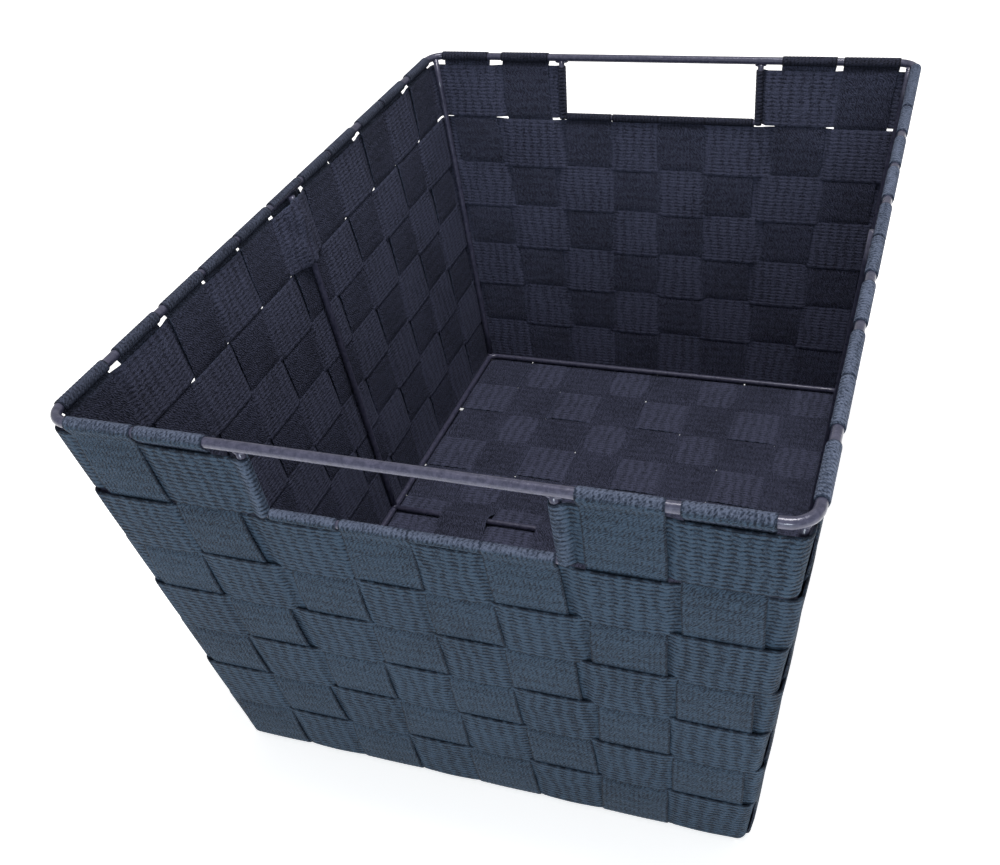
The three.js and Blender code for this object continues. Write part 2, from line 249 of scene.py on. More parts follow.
class Side:
    """One side of the bin. Its columns run along it, anticlockwise around the bin seen from above."""

    def __init__(self, name, axis, along, out, first):
        self.name = name
        self.axis = axis
        self.along = np.array(along, float)
        self.out = np.array(out, float)
        self.first = first
        self.columns = COLUMNS[axis]
        self.across_axis = "y" if axis == "x" else "x"
        self.wall = WALLS[self.across_axis]

    def at_handle(self, column):
        return self.axis == "x" and column in HANDLE_COLUMNS

    def place(self, column, height):
        """Where the middle of a column is along the side. Columns fan out as they rise."""
        steps = column - (self.columns - 1) / 2
        top = HANDLE_HEIGHT if self.at_handle(column) else rim.height
        top_pitch = HANDLE_PITCH if self.at_handle(column) else RIM_PITCH[self.axis]
        share = np.clip(height / top, 0, 1)
        pitch = BASE_PITCH[self.axis] + (top_pitch - BASE_PITCH[self.axis]) * share
        return steps * pitch + SLID[self.name][column] * share**2

    def gap_after(self, column, height):
        return (self.place(column, height) + self.place(column + 1, height)) / 2

    def corner(self, height):
        """Where the bend of a ring around the corner begins."""
        return WALLS[self.axis].distance(height) - RING_CORNER

    def point(self, along, distance, height):
        plan = np.multiply.outer(along, self.along) + np.multiply.outer(distance, self.out)
        return np.column_stack([plan, np.full(len(plan), height)])


FRONT = Side("front", "x", (1, 0), (0, -1), 0)
RIGHT = Side("right", "y", (0, 1), (1, 0), COLUMNS["x"])
BACK = Side("back", "x", (-1, 0), (0, 1), COLUMNS["x"] + COLUMNS["y"])
LEFT = Side("left", "y", (0, -1), (-1, 0), 2 * COLUMNS["x"] + COLUMNS["y"])
SIDES = [FRONT, RIGHT, BACK, LEFT]


def strap_layer(index, row):
    """1 where an upright strap lies outside a ring, and -1 where it lies inside it."""
    return 1 if (index + row) % 2 == 0 else -1


def ease(share):
    share = np.clip(share, 0, 1)
    return share * share * (3 - 2 * share)


def layered(places, knots, layers):
    """Which layer a strap is in, from 1 to -1, and its offset from the middle surface, at each place.

    It eases over at the knots between its crossings, and bulges away from the straps it crosses.
    """
    layer = np.full(len(places), float(layers[0]))
    for knot, before, after in zip(knots[1:-1], layers, layers[1:]):
        layer += (after - before) * ease((places - knot) / RAMP + 0.5)
    cell = np.clip(np.searchsorted(knots, places) - 1, 0, len(layers) - 1)
    low, high = np.asarray(knots)[cell], np.asarray(knots)[cell + 1]
    share = np.clip((places - low) / (high - low), 0, 1)
    crown = np.array([sign * PUFF[sign] for sign in layers])[cell]
    return layer, layer * LAYER + crown * np.sin(np.pi * share) ** PUFF_SHAPE


# ------------------------------------------------------------ webbing meshes


def across_places(width):
    """Places across a strap: four to a rib, and two in each rounded selvedge."""
    inner = np.linspace(-width / 2 + SELVEDGE, width / 2 - SELVEDGE, 4 * RIBS + 1)
    edge = np.array([width / 2 - SELVEDGE / 3, width / 2])
    return np.concatenate([-edge[::-1], inner, edge])


def rib_places(across, width):
    """Places across the webbing counted in ribs from its middle, with a valley at each whole number."""
    return across / (width - 2 * SELVEDGE) * RIBS


def half_thickness(across, width, rib_depth):
    """Half the webbing's thickness across it: ribs between shallow valleys, and rounded selvedges."""
    rib_crest = np.abs(np.sin(np.pi * rib_places(across, width))) ** RIB_ROUNDNESS
    body = THICKNESS / 2 - rib_depth * (1 - rib_crest)
    inset = np.clip((width / 2 - np.abs(across)) / SELVEDGE, 0, 1)
    return body * np.sqrt(1 - (1 - inset) ** 2)


def normals_of(points, closed):
    """Unit normals of a grid of points, pointing out of the bin."""
    along = np.roll(points, -1, 0) - np.roll(points, 1, 0) if closed else np.gradient(points, axis=0)
    normal = np.cross(along, np.gradient(points, axis=1))
    return normal / np.linalg.norm(normal, axis=2, keepdims=True)


def travelled(points, closed=False):
    """Distance along a strap to each row of its grid, and all the way round for a ring."""
    middle = points[:, points.shape[1] // 2]
    if closed:
        middle = np.vstack([middle, middle[:1]])
    steps = np.linalg.norm(np.diff(middle, axis=0), axis=1)
    return np.concatenate([[0], np.cumsum(steps)])


def cell_corners(rows, columns):
    """Row and column of the four corners of every cell of a grid."""
    i, j = np.meshgrid(np.arange(rows), np.arange(columns), indexing="ij")
    i, j = i.ravel(), j.ravel()
    return np.stack([i, i + 1, i + 1, i], axis=1), np.stack([j, j, j + 1, j + 1], axis=1)


def end_caps(out_at, in_at):
    """Quads that close the two ends of an open strap, with the row and column of their corners."""
    j = np.arange(1, out_at.shape[1] - 2)
    pairs = np.stack([j, j + 1, j + 1, j], axis=1)
    quads, rows, columns = [], [], []
    for row, turn in ((0, 1), (len(out_at) - 1, -1)):
        end = np.stack([out_at[row, j], out_at[row, j + 1], in_at[row, j + 1], in_at[row, j]], axis=1)
        quads.append(end[:, ::turn])
        rows.append(np.full(end.shape, row))
        columns.append(pairs[:, ::turn])
    return np.concatenate(quads), np.concatenate(rows), np.concatenate(columns)


def shell_quads(rows, columns, closed):
    """Quads of a webbing shell, with the row and column of each corner in its grid.

    The outer points come first. The inner ones share the first and last columns with them.
    """
    out_at = np.arange(rows * columns).reshape(rows, columns)
    in_at = out_at.copy()
    in_at[:, 1:-1] = rows * columns + np.arange(rows * (columns - 2)).reshape(rows, columns - 2)
    i, j = cell_corners(rows if closed else rows - 1, columns - 1)
    parts = [(out_at[i % rows, j], i, j), (in_at[i % rows, j][:, ::-1], i[:, ::-1], j[:, ::-1])]
    if not closed:
        parts.append(end_caps(out_at, in_at))
    return [np.concatenate(part) for part in zip(*parts)]


def bowed(points, normals, layer, width):
    """A grid of middle points, bowed across the strap towards the side that its layer is on."""
    bow = BOW * layer[:, None] * (1 - (2 * across_places(width) / width) ** 2)
    return points + (bow - BOW / 2 * layer[:, None])[:, :, None] * normals


def half_section(press, width):
    """Half the webbing's thickness at each point of its grid."""
    across = across_places(width)
    free = half_thickness(across, width, RIB_DEPTH)
    pressed = (1 - ROLL_PRESS) * half_thickness(across, width, WRAP_RIB_DEPTH)
    return np.outer(1 - press, free) + np.outer(press, pressed)


def webbing_mesh(name, points, layer, press, looks, width, closed=False):
    """A closed webbing mesh around a grid of middle points, with coordinates for its weave.

    Press is 1 where the webbing is drawn taut and thin around a wire, and 0 elsewhere. Looks are more
    values along the webbing for its material.
    """
    rows, columns = points.shape[:2]
    normals = normals_of(points, closed)
    points = bowed(points, normals, layer, width)
    reach = half_section(press, width)[:, :, None] * normals
    outer = (points + reach).reshape(-1, 3)
    inner = (points - reach)[:, 1:-1].reshape(-1, 3)
    quads, corner_rows, corner_columns = shell_quads(rows, columns, closed)
    rib = rib_places(across_places(width), width)[corner_columns]
    loop = travelled(points, closed)[corner_rows] / LOOP_PITCH
    attributes = {"within": np.repeat([0.0, 1.0], [len(outer), len(inner)])}
    for key, values in looks.items():
        attributes[key] = np.concatenate([np.repeat(values, columns), np.repeat(values, columns - 2)])
    return make_mesh(name, np.vstack([outer, inner]), quads, np.dstack([rib, loop]), attributes)


def make_mesh(name, points, quads, uv=None, attributes=None):
    """A smooth mesh object from points in millimetres and quads."""
    mesh = bpy.data.meshes.new(name)
    mesh.vertices.add(len(points))
    mesh.vertices.foreach_set("co", (points * MM).astype(np.float32).ravel())
    mesh.loops.add(quads.size)
    mesh.loops.foreach_set("vertex_index", quads.astype(np.int32).ravel())
    mesh.polygons.add(len(quads))
    mesh.polygons.foreach_set("loop_start", np.arange(0, quads.size, 4, dtype=np.int32))
    mesh.polygons.foreach_set("use_smooth", np.ones(len(quads), bool))
    if uv is not None:
        mesh.uv_layers.new(name="weave").data.foreach_set("uv", uv.astype(np.float32).ravel())
    for key, values in (attributes or {}).items():
        mesh.attributes.new(key, "FLOAT", "POINT").data.foreach_set("value", values.astype(np.float32))
    mesh.update(calc_edges=True)
    mesh.validate()
    obj = bpy.data.objects.new(name, mesh)
    bpy.context.scene.collection.objects.link(obj)
    return obj


# ------------------------------------------------------------ routes of upright straps


def way_along(route):
    """Distance to each point of a route. Its first two columns are places; any others ride along."""
    return np.concatenate([[0], np.cumsum(np.linalg.norm(np.diff(route[:, :2], axis=0), axis=1))])


def picked(route, measure, places):
    return np.stack([np.interp(places, measure, column) for column in route.T], axis=1)


def dense(route):
    way = way_along(route)
    return picked(route, way, np.linspace(0, way[-1], round(way[-1] / DENSE_STEP)))


def softened(route, reach=4):
    """A dense route with its corners eased by a moving average that keeps its two ends."""
    before = 2 * route[0] - route[reach:0:-1]
    after = 2 * route[-1] - route[-2:-reach - 2:-1]
    window = np.hanning(2 * reach + 3)[1:-1]
    padded = np.vstack([before, route, after])
    return np.stack([np.convolve(column, window / window.sum(), "valid") for column in padded.T], axis=1)


def thinned(route):
    """Fewer points of a dense route: wide steps where it is straight, and small ones where it turns."""
    steps = np.diff(route[:, :2], axis=0)
    lengths = np.linalg.norm(steps, axis=1)
    heading = np.unwrap(np.arctan2(steps[:, 1], steps[:, 0]))
    average = np.ones(5) / 5
    turning = np.convolve(np.abs(np.gradient(heading)) / lengths, average, "same")
    count = np.concatenate([[0], np.cumsum(lengths * np.maximum(1 / STEP, turning / TURN_STEP))])
    return picked(route, count, np.linspace(0, count[-1], math.ceil(count[-1]) + 1))


def rolled_end(offset, radius, last_angle):
    """An end rolled round a wire at 0, 0: how far out and how far up the wall each of its points is."""
    start = np.array([offset, -ROLL_START * radius])
    first = math.atan2(start[1], start[0]) + math.acos(radius / np.linalg.norm(start))
    angles = np.append(np.arange(first, last_angle - TURN_STEP / 2, TURN_STEP), last_angle)
    return np.vstack([start, radius * np.stack([np.cos(angles), np.sin(angles)], axis=1)])


def roll_radius(wire_diameter):
    return wire_diameter / 2 + SNUG + THICKNESS / 2 * (1 - ROLL_PRESS)


def bend_route(wall, base_layer, wall_layer):
    """Round the base wire, from the base up to the wall."""
    share = np.linspace(0, 1, BEND_POINTS)
    layer = base_layer + (wall_layer - base_layer) * share
    angle = -math.pi / 2 + share * (math.pi / 2 - wall.lean)
    spokes = np.stack([np.cos(angle), np.sin(angle)], axis=1)
    return np.column_stack([wall.wire + (BEND + LAYER * layer)[:, None] * spokes, layer, 0 * layer])


def wall_route(side, column, base_layer, last_angle):
    """Up one wall: the bend round the base wire, the climb past the rings, and the rolled end."""
    wall = side.wall
    top_row = 1 if side.at_handle(column) else 0
    layers = [strap_layer(side.first + column, row) for row in range(ROWS - 1, top_row - 1, -1)]
    wire_height, diameter = (HANDLE_HEIGHT, WIRE) if top_row else (rim.height, rim.diameter)
    radius = roll_radius(diameter)
    roll_from = wire_height - ROLL_START * radius * wall.up[1]
    heights = np.arange(wall.foot[1] + BEND_GAP, roll_from, DENSE_STEP)
    layer, offset = layered(heights, [wall.foot[1], *ROW_GAPS[top_row:][::-1], roll_from], layers)
    roll = rolled_end(layers[-1] * LAYER, radius, last_angle)
    turn = wall.at(wire_height) + roll[:, :1] * wall.out + roll[:, 1:] * wall.up
    return np.vstack([
        bend_route(wall, base_layer, layers[0]),
        np.column_stack([wall.at(heights) + np.multiply.outer(offset, wall.out), layer, 0 * layer]),
        np.column_stack([turn, np.zeros(len(turn)), np.ones(len(turn))]),
    ])


def base_route(axis, layers, over_wire):
    """Along the base from one bend to the other, over the base cross wire if the strap meets it."""
    reach = base.half[axis]
    gaps = (np.arange(1, len(layers)) - len(layers) / 2) * BASE_PITCH[axis]
    places = np.arange(-reach + BEND_GAP, reach - BEND_GAP, DENSE_STEP)
    layer, offset = layered(places, [-reach, *gaps, reach], layers)
    height = BASE_MIDDLE - np.minimum(offset, LAYER)
    if over_wire:
        low = BASE_MIDDLE + LAYER
        top = base.height + roll_radius(WIRE)
        hump = np.cos(np.clip(places / HUMP_REACH, -1, 1) * math.pi / 2) ** HUMP_SHAPE
        height = np.maximum(height, low + (top - low) * hump)
    return np.column_stack([places, height, layer, 0 * layer])


def wander(points, direction):
    """Slides a strap a little to one side and the other along its length, as hands leave it."""
    way = travelled(points)
    shift = np.zeros(len(points))
    for wavelength in WANDER_WAVES:
        shift += rng.normal() * np.sin(2 * math.pi * (way / wavelength + rng.random()))
    return points + WANDER * shift[:, None, None] * np.asarray(direction)


def upright_route(start, end, column, last_angle):
    """Distance from the middle of the bin, height, layer and press along a strap, from start to end."""
    lower = 1 if start.axis == "x" else -1
    base_layers = [lower if (column + j) % 2 else -lower for j in range(COLUMNS[start.across_axis])]
    over_wire = start.axis == "x" and base_layers[len(base_layers) // 2] < 0
    down = wall_route(start, column, base_layers[0], last_angle)[::-1] * (-1, 1, 1, 1)
    along_base = base_route(start.across_axis, base_layers, over_wire)
    up = wall_route(end, end.columns - 1 - column, base_layers[-1], last_angle)
    return thinned(softened(dense(np.vstack([down, along_base, up]))))


def upright_looks(start, end, column, distance, height, press):
    """Values along an upright strap for its material: the painted light on its wraps, lit or shaded by
    side, where on the wraps that painted light lies, and where it is marked flat, its ribs running up the
    walls or away from the front.
    """
    wire_height = HANDLE_HEIGHT if start.at_handle(column) else rim.height
    past_wire = np.abs(distance) - start.wall.distance(wire_height)
    turned = (np.arctan2(height - wire_height, past_wire) + math.pi / 2) % (2 * math.pi) - math.pi / 2
    painted_wrap_light = ease((turned - LIT_CREST_FROM) / LIT_CREST_OVER) if start.axis == "x" else 1
    flat = ease(height / FLAT_ABOVE) if start.axis == "y" else np.ones(len(height))
    return {
        # Painted light on the wraps: the lit or shaded copy for each side, laid on the crest of each roll
        "wrap_lit_share": np.where(distance < 0, WRAP_LIT_SHARE[start.name], WRAP_LIT_SHARE[end.name]),
        "painted_wrap_light": press * painted_wrap_light,
        "flat": flat * (1 - WRAP_FLAT_DROP * press),
    }


def upright_strap(name, start, end, column, last_angle=ROLL_END):
    """A strap down the start side, along the base and up the end side, and its length."""
    distance, height, layer, press = upright_route(start, end, column, last_angle).T
    end_place = end.place(end.columns - 1 - column, height)
    place = np.where(distance < 0, start.place(column, height), -end_place)
    plan = np.multiply.outer(distance, end.out) + np.multiply.outer(place, start.along)
    wrap_width = HANDLE_WRAP_WIDTH if start.at_handle(column) else WRAP_WIDTH
    spread = 1 + press * (wrap_width / STRAP_WIDTH - 1)
    sideways = np.append(start.along, 0)
    across = np.multiply.outer(np.outer(spread, across_places(STRAP_WIDTH)), sideways)
    points = wander(np.column_stack([plan, height])[:, None] + across, sideways)
    looks = upright_looks(start, end, column, distance, height, press)
    return webbing_mesh(name, points, layer, press, looks, STRAP_WIDTH), travelled(points)[-1]


# ------------------------------------------------------------ routes of rings


def ring_lines(row, side):
    """Height and tilt outwards of each line along a ring: its upper edge stands out from the wall."""
    across = across_places(RING_WIDTH)
    lower, upper = RING_SPREAD.get(row, (0, 0))
    pulled = np.interp(across, (-RING_WIDTH / 2, RING_WIDTH / 2), (-lower, upper))
    heights = RING_HEIGHTS[row] + across * side.wall.up[1] + pulled
    return zip(heights, RING_TILT * across / (RING_WIDTH / 2))


def ring_straight(row, side, first, last):
    """A ring along one side, past columns first to last: a grid of points, their layer and their press."""
    layers = [-strap_layer(side.first + column, row) for column in range(first, last + 1)]
    from_wire = HANDLE_HALF + ROLL_START * roll_radius(WIRE)

    def knots(height):
        start = -side.corner(height) if first == 0 else from_wire
        stop = side.corner(height) if last == side.columns - 1 else -from_wire
        return [start, *(side.gap_after(column, height) for column in range(first, last)), stop]

    middle = knots(RING_HEIGHTS[row])
    places = np.linspace(middle[0], middle[-1], round((middle[-1] - middle[0]) / STEP))
    layer, offset = layered(places, middle, layers)
    grid = []
    for height, tilt in ring_lines(row, side):
        distance = side.wall.distance(height) + offset + tilt
        grid.append(side.point(np.interp(places, middle, knots(height)), distance, height))
    return np.stack(grid, axis=1), layer, 0 * layer


def ring_corner(row, side):
    """A ring around the corner at the end of a side."""
    share = np.linspace(0, 1, BEND_POINTS)[1:-1]
    layer = -strap_layer(side.first + side.columns - 1, row) * (1 - 2 * ease(share))
    grid = []
    for height, tilt in ring_lines(row, side):
        radius = RING_CORNER + LAYER * layer + tilt
        along = side.corner(height) + radius * np.sin(share * math.pi / 2)
        distance = side.wall.distance(height) - RING_CORNER + radius * np.cos(share * math.pi / 2)
        grid.append(side.point(along, distance, height))
    return np.stack(grid, axis=1), layer, 0 * layer


def ring_end(row, side, column, towards):
    """An end of a ring, rolled around the upright of a handle wire."""
    offset = -strap_layer(side.first + column, row) * LAYER
    roll = rolled_end(offset, roll_radius(WIRE), ROLL_END)[1:]
    along = towards * (roll[:, 1] - HANDLE_HALF)
    grid = [
        side.point(along, side.wall.distance(height) + roll[:, 0], height)
        for height, _ in ring_lines(row, side)
    ]
    return np.stack(grid, axis=1), np.zeros(len(roll)), np.full(len(roll), RING_END_PRESS)


def puckered(points, side):
    """The top ring where it is drawn over the top of a middle post: it stands in, creases and widens."""
    along = points[..., :2] @ side.along
    across = (points[..., 2] - RING_HEIGHTS[0]) / (RING_WIDTH / 2)
    nearness = np.exp(-((along - PUCKER_PLACE) / PUCKER_REACH) ** 2)
    near = np.where(points[..., :2] @ side.out > 0, nearness, 0)
    crease = sum(size * np.sin(a * along + b * across) for size, a, b in CREASES)
    inward = near * (PUCKER_DEPTH + crease + PUCKER_TILT * across)
    lift = near * (PUCKER_LIFT + PUCKER_WIDENING * across)
    points = points - inward[..., None] * np.append(side.out, 0)
    return points + lift[..., None] * np.array([0, 0, 1])


def ring_strap(name, row, parts, closed=False):
    """A ring joined up from its parts, and its length. The top left one puckers over its middle post."""
    points, layer, press = (np.concatenate(column) for column in zip(*parts))
    if name == "top_ring_left":
        points = puckered(points, LEFT)
    at_front = points[:, 0, 1] < 0
    # Painted light on the ring's ends round the handle uprights: mostly the lit copy at the front, the
    # shaded copy at the back
    looks = {
        "wrap_lit_share": np.where(at_front, WRAP_LIT_SHARE["front"], WRAP_LIT_SHARE["back"]),
        "painted_wrap_light": np.where(at_front, press, np.sign(press)),
        "flat": np.zeros(len(points)),
    }
    strap = webbing_mesh(name, points, layer, press, looks, RING_WIDTH, closed)
    return strap, travelled(points, closed)[-1]


def whole_ring(name, row):
    parts = []
    for side in SIDES:
        parts.append(ring_straight(row, side, 0, side.columns - 1))
        parts.append(ring_corner(row, side))
    return ring_strap(name, row, parts, closed=True)


def half_ring(name, start, between, stop):
    """The top ring from one handle to the other, around one end of the bin."""
    after, before = HANDLE_COLUMNS[-1] + 1, HANDLE_COLUMNS[0] - 1
    first_roll, *first_state = ring_end(0, start, after, -1)
    parts = [
        (first_roll[::-1], *first_state),
        ring_straight(0, start, after, start.columns - 1),
        ring_corner(0, start),
        ring_straight(0, between, 0, between.columns - 1),
        ring_corner(0, between),
        ring_straight(0, stop, 0, before),
        ring_end(0, stop, before, 1),
    ]
    return ring_strap(name, 0, parts)


# ------------------------------------------------------------ wires


def wire_mesh(name, points, diameter, reference, closed=False):
    """A round wire along points. The reference direction is square to the wire all along."""
    points = np.asarray(points, float)
    tangent = np.roll(points, -1, 0) - np.roll(points, 1, 0) if closed else np.gradient(points, axis=0)
    tangent /= np.linalg.norm(tangent, axis=1, keepdims=True)
    side = np.cross(tangent, reference)
    side /= np.linalg.norm(side, axis=1, keepdims=True)
    turn = np.linspace(0, 2 * math.pi, WIRE_SIDES, endpoint=False)[:, None]
    up = np.cross(side, tangent)[:, None]
    around = np.cos(turn) * side[:, None] + np.sin(turn) * up
    rings = points[:, None] + diameter / 2 * around
    rows = len(points)
    at = np.arange(rows * WIRE_SIDES).reshape(rows, WIRE_SIDES)
    i, j = cell_corners(rows if closed else rows - 1, WIRE_SIDES)
    quads = [at[i % rows, j % WIRE_SIDES][:, ::-1]]
    if not closed:
        k = np.arange(WIRE_SIDES // 2 - 1)
        strips = np.stack([k, k + 1, WIRE_SIDES - 2 - k, WIRE_SIDES - 1 - k], axis=1)
        quads += [at[0][strips][:, ::-1], at[-1][strips]]
    return make_mesh(name, rings.reshape(-1, 3), np.vstack(quads))


def arc(centre, radius, start, stop):
    angles = np.radians(np.linspace(start, stop, BEND_POINTS))
    return np.asarray(centre) + radius * np.stack([np.cos(angles), np.sin(angles)], axis=1)


def loop_points(wire, bend):
    x, y = wire.half["x"] - bend, wire.half["y"] - bend
    corners = [((x, -y), -90), ((x, y), 0), ((-x, y), 90), ((-x, -y), 180)]
    plan = np.vstack([arc(centre, bend, start, start + 90) for centre, start in corners])
    return np.column_stack([plan, np.full(len(plan), wire.height)])


def handle_points(side):
    """A handle wire: down from the rim, along below the hand hole and up again."""
    top = rim.height - rim.diameter / 2 + HANDLE_BITE
    inset = HANDLE_HALF - HANDLE_BEND
    low = HANDLE_HEIGHT + HANDLE_BEND
    upright = np.linspace(top, low + UPRIGHT_STOP, UPRIGHT_POINTS)
    level = np.linspace(-inset + LEVEL_STOP, inset - LEVEL_STOP, LEVEL_POINTS)
    outline = np.vstack([
        np.column_stack([np.full(UPRIGHT_POINTS, -HANDLE_HALF), upright]),
        arc((-inset, low), HANDLE_BEND, 180, 270),
        np.column_stack([level, np.full(LEVEL_POINTS, HANDLE_HEIGHT)]),
        arc((inset, low), HANDLE_BEND, 270, 360),
        np.column_stack([np.full(UPRIGHT_POINTS, HANDLE_HALF), upright[::-1]]),
    ])
    along, height = outline.T
    distance = side.wall.distance(height)
    plan = np.multiply.outer(along, side.along) + np.multiply.outer(distance, side.out)
    return np.column_stack([plan, height])


def post_points(x_sign, y_sign):
    """A corner post, or a middle post where y_sign is 0, from the base wire up to the rim."""
    height = np.linspace(base.height + POST_END, rim.height - POST_END, POST_POINTS)
    x = WALLS["x"].distance(height)
    if y_sign:
        y = WALLS["y"].distance(height) - CORNER_INSET
        return np.column_stack([x_sign * (x - CORNER_INSET), y_sign * y, height])
    return np.column_stack([x_sign * (x + POST_OFFSET), np.zeros(POST_POINTS), height])


def weld_beads(name, places):
    """Lumps of weld metal where the wires join, all in one piece: each is a place and its three sizes."""
    mesh = bmesh.new()
    for place, size in places:
        lump = bmesh.ops.create_icosphere(mesh, subdivisions=3, radius=1)["verts"]
        phases = rng.random(3) * BEAD_PHASES
        for vertex in lump:
            waves = sum(math.sin(BEAD_WAVES * c + phase) for c, phase in zip(vertex.co, phases))
            reach = np.multiply(size, vertex.co) / 2 * (1 + BEAD_RIPPLE * waves)
            vertex.co = Vector((np.asarray(place) + reach) * MM)
    data = bpy.data.meshes.new(name)
    mesh.to_mesh(data)
    mesh.free()
    data.polygons.foreach_set("use_smooth", np.ones(len(data.polygons), bool))
    obj = bpy.data.objects.new(name, data)
    bpy.context.scene.collection.objects.link(obj)
    return obj


# ------------------------------------------------------------ materials


# The mix node's sockets for its factor, its two colours and the colour it gives
MIX_INPUTS = (0, 6, 7)
MIX_OUTPUT = 2


class Shader:
    """A material's node tree, built one node at a time."""

    def __init__(self, name):
        self.material = bpy.data.materials.new(name)
        self.material.use_nodes = True
        self.tree = self.material.node_tree
        self.surface = self.tree.nodes["Principled BSDF"]

    def set(self, node, socket, value):
        if isinstance(value, bpy.types.NodeSocket):
            self.tree.links.new(value, node.inputs[socket])
        else:
            node.inputs[socket].default_value = value

    def add(self, kind, inputs=(), **settings):
        node = self.tree.nodes.new(kind)
        for key, value in settings.items():
            setattr(node, key, value)
        for socket, value in dict(inputs).items():
            self.set(node, socket, value)
        return node

    def math(self, operation, first, second=0.0, clamp=False):
        node = self.add("ShaderNodeMath", {0: first, 1: second}, operation=operation, use_clamp=clamp)
        return node.outputs[0]

    def attribute(self, name):
        return self.add("ShaderNodeAttribute", attribute_name=name).outputs["Fac"]

    def noise(self, vector, scale, detail=2.0, roughness=0.5):
        settings = {"Vector": vector, "Scale": scale, "Detail": detail, "Roughness": roughness}
        return self.add("ShaderNodeTexNoise", settings).outputs["Fac"]

    def bump(self, height, strength, distance):
        settings = {"Strength": strength, "Distance": distance, "Height": height}
        return self.add("ShaderNodeBump", settings).outputs[0]

    def remap(self, value, low, high, to_low=0.0, to_high=1.0):
        settings = {"Value": value, "From Min": low, "From Max": high, "To Min": to_low, "To Max": to_high}
        return self.add("ShaderNodeMapRange", settings, interpolation_type="SMOOTHSTEP").outputs[0]

    def scaled(self, value, factor):
        return self.math("MULTIPLY", value, factor)

    def total(self, first, *others):
        for other in others:
            first = self.math("ADD", first, other)
        return first

    def between(self, share, first, second):
        return self.remap(share, 0, 1, first, second)

    def mix(self, share, first, second):
        """A mix of two colours, each a node's output or its red, green and blue."""
        node = self.add("ShaderNodeMix", data_type="RGBA")
        colours = [(*colour, 1) if isinstance(colour, tuple) else colour for colour in (first, second)]
        for socket, value in zip(MIX_INPUTS, (share, *colours)):
            self.set(node, socket, value)
        return node.outputs[MIX_OUTPUT]

    def position(self):
        return self.add("ShaderNodeNewGeometry").outputs["Position"]

    def finish(self, values):
        for socket, value in values.items():
            self.set(self.surface, socket, value)
        return self.material


# Colours with painted light in them: the webbing's outer face is tinted teal for the cool light falling on
# the front, and the face within the bin is painted lighter and violet for the light inside it; the wraps
# have a shaded copy and a lit copy, whose lighter colour is a painted sheen on their crests
# Each has a ridge colour and a darker pit colour: the pits' darkness is painted shade, and the same darker
# colour also carries the random wear and grain
OUTER_FACE_LIT_TINT = {"ridge": (0.035, 0.064, 0.104), "pit": (0.003, 0.008, 0.018)}
INNER_FACE_LIT_TINT = {"ridge": (0.070, 0.078, 0.132), "pit": (0.012, 0.014, 0.025)}
WRAP_SHADED_COPY = {"ridge": (0.032, 0.036, 0.062), "pit": (0.008, 0.009, 0.017)}
WRAP_LIT_COPY = {"ridge": (0.138, 0.170, 0.250), "pit": (0.020, 0.031, 0.056)}


def colour_with_painted_light(shader, kind):
    """Colour of the ridges or of the pits, wherever they are on the bin, with painted light: the tint of
    the outer or inner face, and on the wraps their lit or shaded copy.
    """
    wall = shader.mix(shader.attribute("within"), OUTER_FACE_LIT_TINT[kind], INNER_FACE_LIT_TINT[kind])
    wrap = shader.mix(shader.attribute("wrap_lit_share"), WRAP_SHADED_COPY[kind], WRAP_LIT_COPY[kind])
    return shader.mix(shader.attribute("painted_wrap_light"), wall, wrap)


# Waves per metre of the noises: how the loops drift, slip and stand up in patches, fibres, and wear
DRIFT_NOISE = 70.0
SLIP_NOISE = 420.0
PATCH_NOISE = 160.0
FIBRE_NOISE = 950.0
WEAR_NOISE = 28.0

# How far the pattern drifts, slips and waves, in ribs or loops
DRIFT = 1.2
SLIP = 0.5
RIB_WAVE = 0.12

# Spots of the pattern, one to a rib and a loop: where each is, and half its width and length
PIT = {"rib_shift": 0.0, "loop_shift": 0.0, "half_width": 0.26, "half_length": 0.4}
KNUCKLE = {"rib_shift": 0.5, "loop_shift": 0.5, "half_width": 0.4, "half_length": 0.36}
# A spot has faded out where the square of the distance from its middle, in its half sizes, is this
LENS_FADE = 1.6

# The twill's turns to a rib and to a loop, and its strength off and on the flat mark
TWILL = (1.5, 3.5)
TWILL_STRENGTH = (0.1, 0.28)

# Strength of the spots, which give both the bump and the painted pit shade and knuckle highlights, in
# their weakest and strongest patches, off and on the flat mark, and on the outer face and within the bin
PATCH_STRENGTH = (0.5, 1.0)
FLAT_STRENGTH = (1.0, 0.4)
WITHIN_STRENGTH = (0.9, 0.3)

# The bump's distance in metres, and how high knuckles and fibres stand as shares of it
BUMP_DISTANCE = 0.0005
KNUCKLE_HEIGHT = 0.8
FIBRE_HEIGHT = 2.0

# How much darker the colour is where it is least and most worn; the painted shade in pits, on flat-marked
# straps within the bin and at the selvedges (outside, within, where the negative value paints the
# selvedges lighter as a painted highlight); the painted highlights on knuckles (outside, within); and how
# much lighter the fibres' grain is
WEAR_SHADE = (0.36, 0.54)
PIT_PAINTED_SHADE = 0.75
FLAT_PAINTED_SHADE = 0.18
EDGE_PAINTED_SHADE_AND_HIGHLIGHT = (0.5, -0.25)
KNUCKLE_PAINTED_HIGHLIGHT = (0.7, 2.0)
FIBRE_LIGHT = 3.0

# The ribs at which the selvedge's painted shade, and its painted highlight within, begins and ends
EDGE_RIBS = (RIBS / 2 - 0.3, RIBS / 2 + 0.1)


